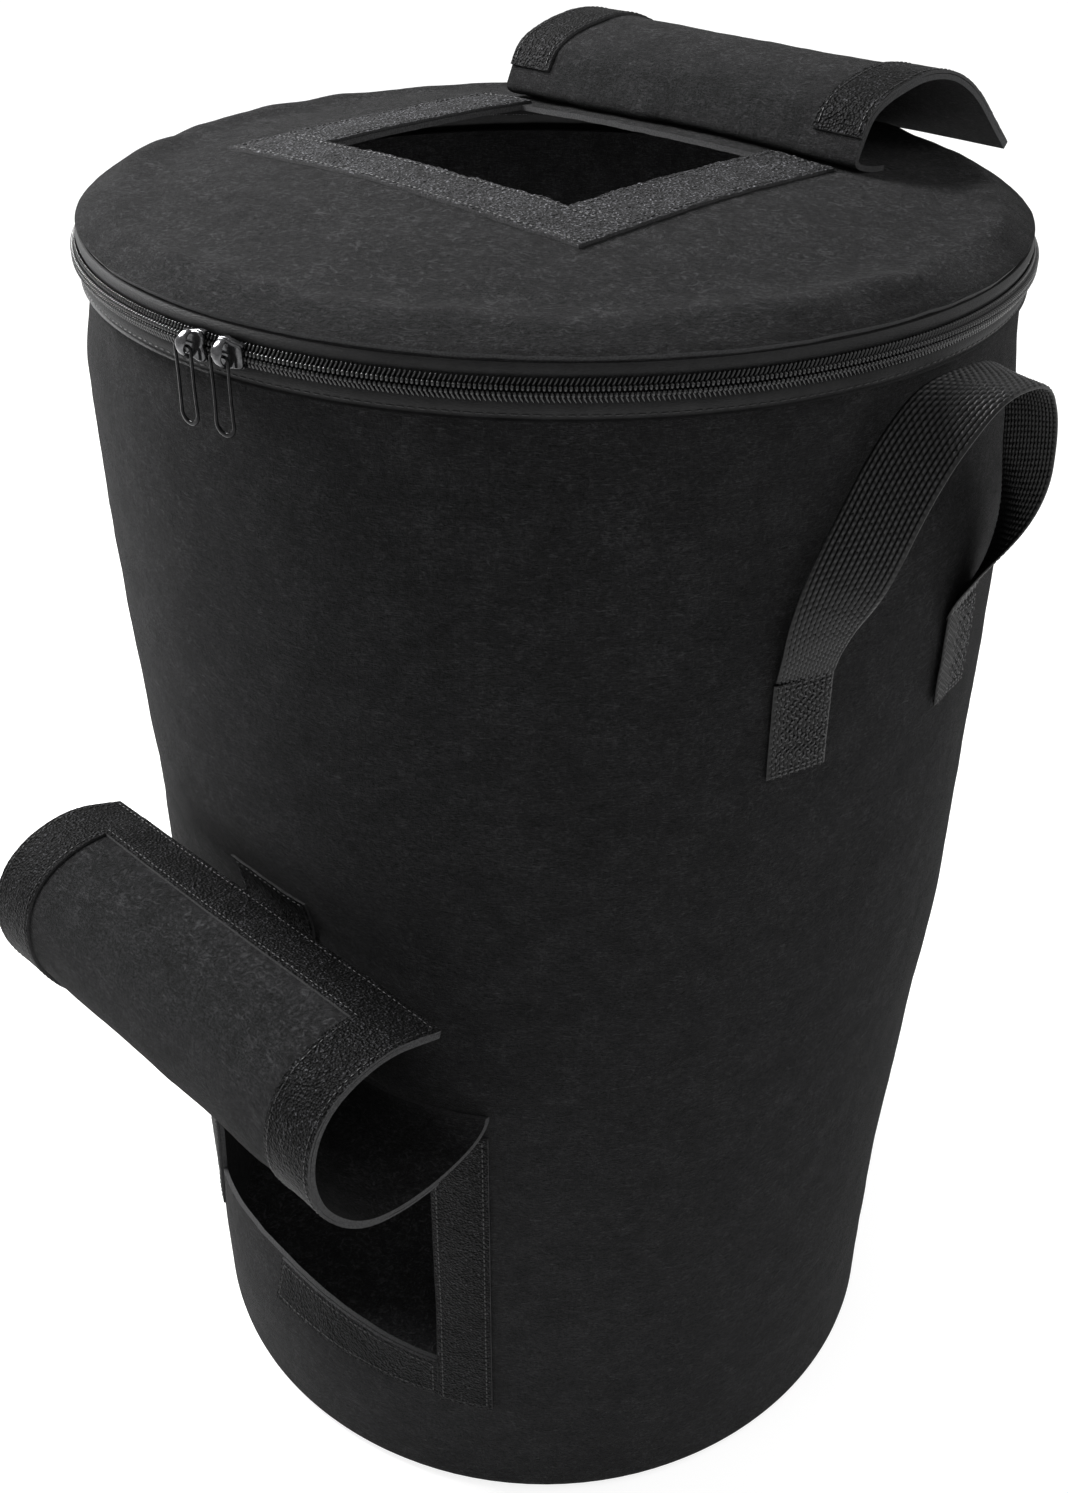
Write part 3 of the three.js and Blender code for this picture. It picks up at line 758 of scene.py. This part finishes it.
def make_wall_strips():
    inner, outer = WINDOW_ANGLE + 0.3, 36.6
    wall_strip("window_strip_left", "window_hook_left", (-outer, -inner), (0.060, 0.231))
    wall_strip("window_strip_right", "window_hook_right", (inner, outer), (0.060, 0.231))
    wall_strip("window_strip_below", "window_hook_bottom", (-5.0, inner - 0.1), (0.063, WINDOW_LOW - 0.0003))
    wall_strip("roll_patch", "roll_keeper_patch", *KEEPER)


# ---- Folding flaps ----

def bezier(b0, b1, b2, s):
    """Points and headings of a quadratic curve; b0..b2 are (nx, 2), s is (ns,)."""
    b0, b1, b2 = (np.asarray(b)[:, None, :] for b in (b0, b1, b2))
    s = s[None, :, None]
    points = (1 - s) ** 2 * b0 + 2 * s * (1 - s) * b1 + s ** 2 * b2
    heading = 2 * (1 - s) * (b1 - b0) + 2 * s * (b2 - b1)
    return points, unit(heading)


class Flap:
    """A felt flap folded at points (y, z), cut into pieces that each bend across one fold."""

    EDGE_STRIP = 0.022

    def __init__(self, name, points, root, parent, half, centre, strip_width, strip_start):
        self.name = name
        self.points = [np.array(p, float) for p in points]
        self.middles = [(p + q) / 2 for p, q in itertools.pairwise(self.points)]
        self.root = root  # root(x) gives the control points before the first fold
        self.parent = parent
        self.half, self.centre = half, centre
        self.strip_width, self.strip_start = strip_width, strip_start
        self.links = len(self.middles)

    def curves(self, piece, x):
        """The quadratic curves of one piece, from its start to its end, for each x."""
        def flat(p):
            return np.broadcast_to(p, (len(x), 2))

        if piece == self.links:
            last = self.middles[-1]
            return [(flat(last), flat((last + self.points[-1]) / 2), flat(self.points[-1]))]
        if piece > 0:
            return [(flat(self.middles[piece - 1]), flat(self.points[piece]), flat(self.middles[piece]))]
        start, bend = self.root(x)
        first = flat(self.points[0])
        halfway = (bend + first) / 2
        return [(start, bend, halfway), (halfway, first, flat(self.middles[0]))]

    def line(self, piece, x, steps):
        """Inner face and outward direction of a piece, as (nx, n, 2) arrays."""
        found = [bezier(*curve, np.linspace(0, 1, steps + 1)[min(k, 1):])
                 for k, curve in enumerate(self.curves(piece, x))]
        points, heading = (np.concatenate(parts, 1) for parts in zip(*found))
        return points, np.stack([-heading[..., 1], heading[..., 0]], -1)

    def place(self, x, line, ways, lift):
        """Points of a face that stands lift off the inner one, with the felt's own waves."""
        across = np.broadcast_to(x[:, None], line.shape[:2])
        normals = np.stack([np.zeros_like(across), ways[..., 0], ways[..., 1]], -1)
        inner = np.stack([across, line[..., 0], line[..., 1]], -1)
        return inner + normals * (lift + relief(inner, 0.0009, 0.055, 4.0))[..., None], normals

    def run(self, piece):
        """Distances along the middle of a piece."""
        return distances(self.line(piece, np.zeros(1), 60)[0][0])

    def reach(self, piece):
        """Distances along the flap from its first fold to a piece's end and to its free edge."""
        lengths = [self.run(k)[-1] for k in range(self.links + 1)]
        lengths[0] -= self.run(0)[60]  # the first of its two curves comes before the fold
        return sum(lengths[:piece + 1]), sum(lengths)

    def felt(self, piece):
        x = np.linspace(-self.half, self.half, 121) + self.centre
        line, ways = self.line(piece, x, 28)
        over, normals = self.place(x, line, ways, FELT)
        under, _ = self.place(x, line, ways, 0.0)
        over = over + normals * relief(over, 0.00018, 0.009, 6.0)[..., None]
        return shell(f"{self.name}_cloth_{piece}", over, under, "felt", rim=True)

    def strips(self, piece):
        """The strips along the two sides and the free edge that lie on this piece."""
        finish, total = self.reach(piece)
        inner = self.half - self.strip_width
        x = np.concatenate([spaced(-self.half, -inner, 0.001), spaced(-inner, inner, 0.002)[1:-1],
                            spaced(inner, self.half, 0.001)]) + self.centre
        line, ways = self.line(piece, x, 40)
        run = distances(line[len(x) // 2])
        run += finish - run[-1]
        edge_start = total - self.EDGE_STRIP
        at = np.unique(np.clip([self.strip_start, edge_start, *run], run[0], run[-1]))
        index = np.interp(at, run, np.arange(len(run)))
        low = np.minimum(index.astype(int), len(run) - 2)
        part = (index - low)[None, :, None]
        line = line[:, low] * (1 - part) + line[:, low + 1] * part
        ways = unit(ways[:, low] * (1 - part) + ways[:, low + 1] * part)
        between_x = (x[:-1] + x[1:]) / 2 - self.centre
        between_s = (at[:-1] + at[1:]) / 2
        side = np.abs(between_x)[:, None] > inner
        edge = (between_s > edge_start)[None, :]
        mask = (side | edge) & (between_s > self.strip_start)[None, :]
        if not mask.any():
            return None
        over, normals = self.place(x, line, ways, FELT + 0.0002 + STRIP)
        under, _ = self.place(x, line, ways, FELT + 0.0001)
        strip = shell(f"{self.name}_strip_{piece}", hook_surface(over, normals, 0.4), under, "strip",
                      mask, rim=True)
        return join(strip.name, strip, *self.seams(at, over, normals, x, total))

    def seams(self, at, over, normals, x, total):
        """Stitch rows just inside the strips' edges."""
        rows = []
        inset = 0.002
        begin = np.searchsorted(at, self.strip_start + inset) if at[0] < self.strip_start else 0
        inner = self.half - self.strip_width + inset
        outer = self.half - inset
        free, edge = total - inset, total - self.EDGE_STRIP + inset

        def row(name, where):
            rows.append(stitches(name, over[where], normals[where], pitch=STRIP_STITCH, thread=STRIP_THREAD))

        for side in (-1, 1):
            for k, (offset, limit) in enumerate(((outer, free), (inner, edge))):
                column = np.argmin(np.abs(x - self.centre - side * offset))
                stop = np.searchsorted(at, limit)
                if stop - begin > 2:
                    row(f"seam_{side}_{k}", (column, slice(begin, stop)))
        for run, wide in ((edge, inner), (free, outer)):
            if at[0] < run < at[-1]:
                nearest = np.argmin(np.abs(at - run))
                row(f"seam_edge_{nearest}", (np.abs(x - self.centre) <= wide, nearest))
        return rows

    def move(self, obj, piece):
        """The last piece rides the last body; each other one is baked in place."""
        body = f"{self.name}_{min(piece + 1, self.links)}"
        if piece == self.links:
            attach(obj, body)
            return
        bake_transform(obj)

    def build(self):
        """Make every piece, and name the CAD nodes that the felts and the strips stand for."""
        felts, strips = [], []
        for piece in range(self.links + 1):
            felt, strip = self.felt(piece), self.strips(piece)
            strips_here = [] if strip is None else [strip]
            for obj, look in zip([felt, *strips_here], ("felt", "strip")):
                self.move(obj, piece)
            self.run(piece)[-1]
            felts.append(felt)
            strips += strips_here
        for k in range(self.links):
            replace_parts(felts[k], f"{self.name}_felt_{k + 1}")
            strip = strips[min(k, len(strips) - 1)]
            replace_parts(strip, f"{self.name}_loop_left_{k + 1}", f"{self.name}_loop_right_{k + 1}")
        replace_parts(strips[-1], f"{self.name}_loop_edge")
        return felts


def make_window_flap():
    def root(x):
        """Flat on the wall above the window, then turning out along the first fold."""
        radius = 0.1697  # about the wall's, at the flap's root
        angle = np.degrees(np.arcsin(np.clip(x / radius, -1, 1)))
        return (wall_point(angle, z, lift)[:, 1:] for z, lift in ((0.2425, FELT), (0.2335, FELT + 0.001)))

    flap = Flap("window_flap", [(-out, z) for out, z in ROLL], root, "bag", FLAP_HALF, 0.0, 0.024, 0.004)
    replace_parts(flap.build()[0], "window_flap_root")


def make_top_flap():
    def root(x):
        """Sewn flat on the lid behind the planting hole, then turning up at the fold."""
        rows = (np.full_like(x, y) for y in (0.086, 0.0675))
        return (np.stack([y, lid_top(x, y) + FELT], -1) for y in rows)

    Flap("top_flap", TOP_FLAP, root, "lid", TOP_FLAP_HALF, TOP_FLAP_CENTRE, 0.022, 0.006).build()


# ---- Handles ----

def weave(across, along):
    """Height of the webbing's floats, from 0 to 1, in a brick pattern."""
    column = np.floor(across / WEAVE_ACROSS)
    u = across / WEAVE_ACROSS - column - 0.5
    v = along / WEAVE_ALONG + 0.5 * (column % 2)
    v = v - np.floor(v) - 0.5
    return np.sqrt(np.clip(np.cos(math.pi * u) * np.cos(math.pi * v), 0, 1))


def webbing(name, centre, across, paleness=1.0):
    """Webbing along a path: centre and across are (n, 3)."""
    heading = unit(np.gradient(centre, axis=0))
    across = unit(across - heading * np.einsum("ij,ij->i", across, heading)[:, None])
    face = np.cross(across, heading)
    wide = np.linspace(-WEBBING / 2, WEBBING / 2, 61)
    u, s = np.meshgrid(wide, distances(centre), indexing="ij")
    selvedge = smooth((WEBBING / 2 - np.abs(u)) / 0.0012)
    float_height = weave(u + WEBBING / 2, s) * selvedge
    rise = WEBBING_THICK / 2 * (0.35 + 0.65 * selvedge) + 0.0008 * (float_height - 0.6 * selvedge)
    flat = centre[None] + across[None] * u[..., None]
    over = flat + face[None] * rise[..., None]
    under = flat - face[None] * rise[..., None]
    obj = shell(name, over, under, "webbing", sharp=80)
    woven = obj.data.attributes.new("float_height", "FLOAT", "POINT")
    # The float_height attribute feeds the painted shade and highlight. The inner face gets painted shade, at
    # 0.35 of the outer face.
    outer, inner = paleness * float_height, 0.35 * paleness * float_height
    woven.data.foreach_set("value", np.concatenate([outer.ravel(), inner.ravel()]))
    return obj


def on_wall(angle):
    """Radius of webbing that lies on the wall at the foot of a handle."""
    return wall_radius(angle, HANDLE_FOOT) + WEBBING_THICK / 2 + 0.0002


def handle_line(side):
    """Centre line and width direction of a handle's free loop; side is 1 at +X and -1 at -X."""
    rise, lean, twist = 0.102, 0.0125, math.radians(72)
    phi = np.linspace(0, math.pi, 560)
    height = np.sin(phi) ** 2
    near = np.minimum(phi, math.pi - phi)
    bow = 0.42 * np.sin(phi) * (1 - np.exp(-(near / 0.35) ** 2))
    lateral = -np.sign(np.cos(phi)) * np.abs(np.cos(phi)) ** 0.8
    y = HANDLE_SPREAD * lateral * (1 + bow)
    z = HANDLE_FOOT + rise * height
    place = 90 * side + HANDLE_TURN + np.degrees(np.arcsin(y / TOP_RADIUS))
    stand = on_wall(place) + 0.0014 * smooth(height / 0.15)
    seat = np.sqrt(stand ** 2 - np.minimum(np.abs(y), 0.060) ** 2)
    start = math.asin(HANDLE_SPREAD / TOP_RADIUS)
    angle = start + (twist - start) * smooth(height / 0.66)
    out = seat + 0.0112 * (np.sin(angle) - math.sin(start)) + lean * height ** 0.8
    centre = np.stack([out, y, z], -1)
    leg = np.clip(-lateral * 3, -1, 1)
    across = unit(np.stack([np.sin(angle), np.cos(angle) * leg, np.zeros_like(y)], -1))
    c, s = side * math.cos(math.radians(HANDLE_TURN)), side * math.sin(math.radians(HANDLE_TURN))
    turn = np.array([[c, s, 0], [-s, c, 0], [0, 0, 1]])
    centre, across = centre @ turn, across @ turn
    run = distances(centre)
    at = np.linspace(0, run[-1], int(run[-1] / WEBBING_STEP))
    return interpolated(at, run, centre), unit(interpolated(at, run, across))


def sewn_end(name, middle):
    """The end of a handle, sewn flat on the wall under rows of zigzag stitches."""
    low, high = SEWN_LOW, HANDLE_FOOT
    z = np.arange(low, high + 1e-6, WEBBING_STEP)
    centre = wall_point(middle, z, WEBBING_THICK / 2 + 0.0002)
    across = np.broadcast_to(around(middle + 90, 1.0, 0.0), centre.shape)
    patch = webbing(name, centre, across, paleness=0.55)
    rows = []

    def stitch_row(u, height, index, thread=0.0009):
        angle = middle + math.degrees(WEBBING / 2 / TOP_RADIUS) * u
        path, normals = wall_point(angle, height, WEBBING_THICK + 0.0003), around(angle, 1.0, 0.0)
        rows.append(stitches(f"{name}_row_{index}", path, normals, "zigzag", 0.0024, thread, 0.7))

    for k, height in enumerate((low + 0.0012, low + 0.0028, high - 0.0012, high - 0.0030)):
        stitch_row(np.linspace(-0.9, 0.9, 20), height, k)
    turns = np.arange(17)
    for k, side in enumerate(np.linspace(-0.86, 0.86, 7)):
        zigzag = np.clip(side + 0.12 * (-1.0) ** turns, -0.93, 0.93)
        stitch_row(zigzag, low + 0.004 + (high - low - 0.008) * turns / 16, 10 + k, 0.0008)
    return join(name, patch, *rows)


def make_handles():
    offset = math.degrees(math.asin(HANDLE_SPREAD / TOP_RADIUS))
    for name, side in (("right", 1), ("left", -1)):
        place = 90 * side + HANDLE_TURN
        for end, way in (("a", -1), ("b", 1)):
            middle = place + way * math.degrees(math.asin(HANDLE_SPREAD / on_wall(place + way * offset)))
            patch = sewn_end(f"handle_{name}_end_{end}", middle)
            settle(patch, "bag", "webbing", f"handle_{name}_sewn_end_{end}")
        loop = webbing(f"handle_{name}_webbing", *handle_line(side))
        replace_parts(loop, f"handle_{name}_loop")
        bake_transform(loop)


# ---- Zip sliders and pulls ----

def tube(name, path, side, up, wide, thick, look, loop=False, rounds=12):
    """A rounded bar along a path; side and up span its section, wide and thick are half sizes."""
    t = np.linspace(0, 2 * math.pi, rounds, endpoint=False)
    c, s = np.cos(t), np.sin(t)
    c, s = np.sign(c) * np.abs(c) ** 0.8, np.sign(s) * np.abs(s) ** 0.8
    wide, thick = np.broadcast_to(wide, len(path)), np.broadcast_to(thick, len(path))
    points = (path[:, None] + side[:, None] * (c[None] * wide[:, None])[..., None]
              + up[:, None] * (s[None] * thick[:, None])[..., None])
    n = len(path)
    faces = []
    for i in range(n if loop else n - 1):
        here, there = i * rounds, (i + 1) % n * rounds
        for k in range(rounds):
            step = (k + 1) % rounds
            faces.append((here + k, here + step, there + step, there + k))
    if not loop:
        faces.append(tuple(range(rounds))[::-1])
        faces.append(tuple((n - 1) * rounds + k for k in range(rounds)))
    return make_object(name, points.reshape(-1, 3), faces, look, sharp=60)


def bevelled(obj, width):
    """The object with its sharp edges rounded, as a finished mesh."""
    modifier = obj.modifiers.new("round", "BEVEL")
    modifier.width = width
    modifier.segments = 3
    modifier.limit_method = "ANGLE"
    modifier.angle_limit = math.radians(35)
    bpy.context.view_layer.update()
    obj.data = bpy.data.meshes.new_from_object(obj.evaluated_get(bpy.context.evaluated_depsgraph_get()))
    obj.modifiers.clear()
    return obj


def prism(name, outline, near, far):
    """A plate whose outline is in (sideways, height) about the zip line, near and far from the axis."""
    n = len(outline)
    points = [(u, -away, ZIP_HEIGHT + v) for away in (near, far) for u, v in outline]
    faces = [tuple(range(n)), tuple(range(n, 2 * n))[::-1]]
    faces += [(k, (k + 1) % n, n + (k + 1) % n, n + k)[::-1] for k in range(n)]
    return make_object(name, points, faces, "metal", sharp=35)


def slider(name, hand):
    """A slider: top plate with a notched mouth, two rails and the crown that holds the pull."""
    def placed(outline, side=1):
        """Millimetres about the slider's middle to the zip line's metres, hand being 1 or -1."""
        return [(SLIDER_SHIFT + hand * 1.12 * u / 1000, side * v / 1000) for u, v in outline]

    upper = [(-4.5, 2.6), (-4.1, 3.5), (-1.0, 4.0), (1.8, 4.9), (3.6, 4.7), (4.5, 3.6), (4.5, 1.2)]
    plate = [(u, -v) for u, v in upper] + [(3.5, 0)] + upper[::-1]
    rail = [(-4.3, 2.9), (-4.3, 3.7), (-1.0, 4.2), (1.8, 5.0), (4.2, 4.7), (4.2, 3.9), (1.6, 4.2),
            (-1.0, 3.4)]
    pieces = [bevelled(prism(f"{name}_plate", placed(plate), 0.1768, 0.1784), 0.0005)]
    for side in (-1, 1):
        pieces.append(bevelled(prism(f"{name}_rail", placed(rail, side), 0.1752, 0.1772), 0.0003))
    t = np.linspace(0, 1, 25)
    arch = 0.1780 + 0.0037 * np.sin(math.pi * t) ** 0.55
    path = np.stack([0.0006 + hand * (0.0004 - 0.0008 * t), -arch, ZIP_HEIGHT + 0.0041 - 0.0082 * t], -1)
    heading = unit(np.gradient(path, axis=0))
    sideways = np.zeros_like(path) + (1, 0, 0)
    wide = 0.0015 + 0.0007 * np.exp(-((t - 0.32) / 0.22) ** 2)
    up = np.cross(heading, sideways)
    pieces.append(tube(f"{name}_crown", path, sideways, up, wide, 0.00062, "metal"))
    return join(name, *pieces)


def pull(name):
    """A long wire loop with a round lower end."""
    half, top, bottom, corner = 0.0037, 0.5400, 0.5145, 0.0014
    straight = top - corner - bottom - half
    low = [(half * math.cos(a), bottom + half - half * math.sin(a)) for a in np.linspace(0, math.pi, 25)]
    left = [(-half * (1 - 0.07 * math.sin(math.pi * k / 8)), bottom + half + straight * k / 8)
            for k in range(1, 8)]
    left += [(-half + corner - corner * math.cos(a), top - corner + corner * math.sin(a))
             for a in np.linspace(0, math.pi / 2, 7)]
    outline = np.array(low + left + [(-u, v) for u, v in reversed(left)])
    path = np.stack([outline[:, 0], np.full(len(outline), -0.1801), outline[:, 1]], -1)
    heading = unit(np.roll(path, -1, 0) - np.roll(path, 1, 0))
    out = np.zeros_like(path) + (0, -1, 0)
    wide = 0.00050 + 0.00034 * smooth((0.520 - outline[:, 1]) / 0.005)
    return tube(name, path, np.cross(out, heading), out, wide, 0.00048, "wire", loop=True)


def turned(obj, angle):
    obj.data.transform(Matrix.Rotation(math.radians(angle), 4, "Z"))
    return obj


def make_sliders():
    for side, angle, hand in (("left", 5.0, 1), ("right", 10.0, -1)):
        body = turned(slider(f"slider_{side}_body", hand), angle)
        settle(body, f"slider_{side}", "metal", f"zip_slider_{side}")
        settle(turned(pull(f"pull_{side}_wire"), angle), f"pull_{side}", "wire", f"zip_pull_{side}")


def make_end_stops():
    for side, angle in (("left", 0.7 - ZIP_END), ("right", ZIP_END - 0.7)):
        out = around(np.array([angle]), 1.0, 0.0)
        centre = out * 0.1755 + np.array([0, 0, 0.5379])
        up = np.array([[0, 0, 1.0]])
        stop = lumps(f"end_stop_{side}", centre, up, np.cross(out, up), out, "metal",
                     0.0041, 0.0022, 0.0034, rounds=16)
        settle(stop, "bag", "metal", f"zip_end_stop_{side}")


# ---- Build ----

make_camera()
make_studio()
make_wall()
make_base()
make_lid()
make_zip()
make_hinge_felt()
make_lid_strips()
make_wall_strips()
make_window_flap()
make_top_flap()
make_handles()
make_sliders()
make_end_stops()
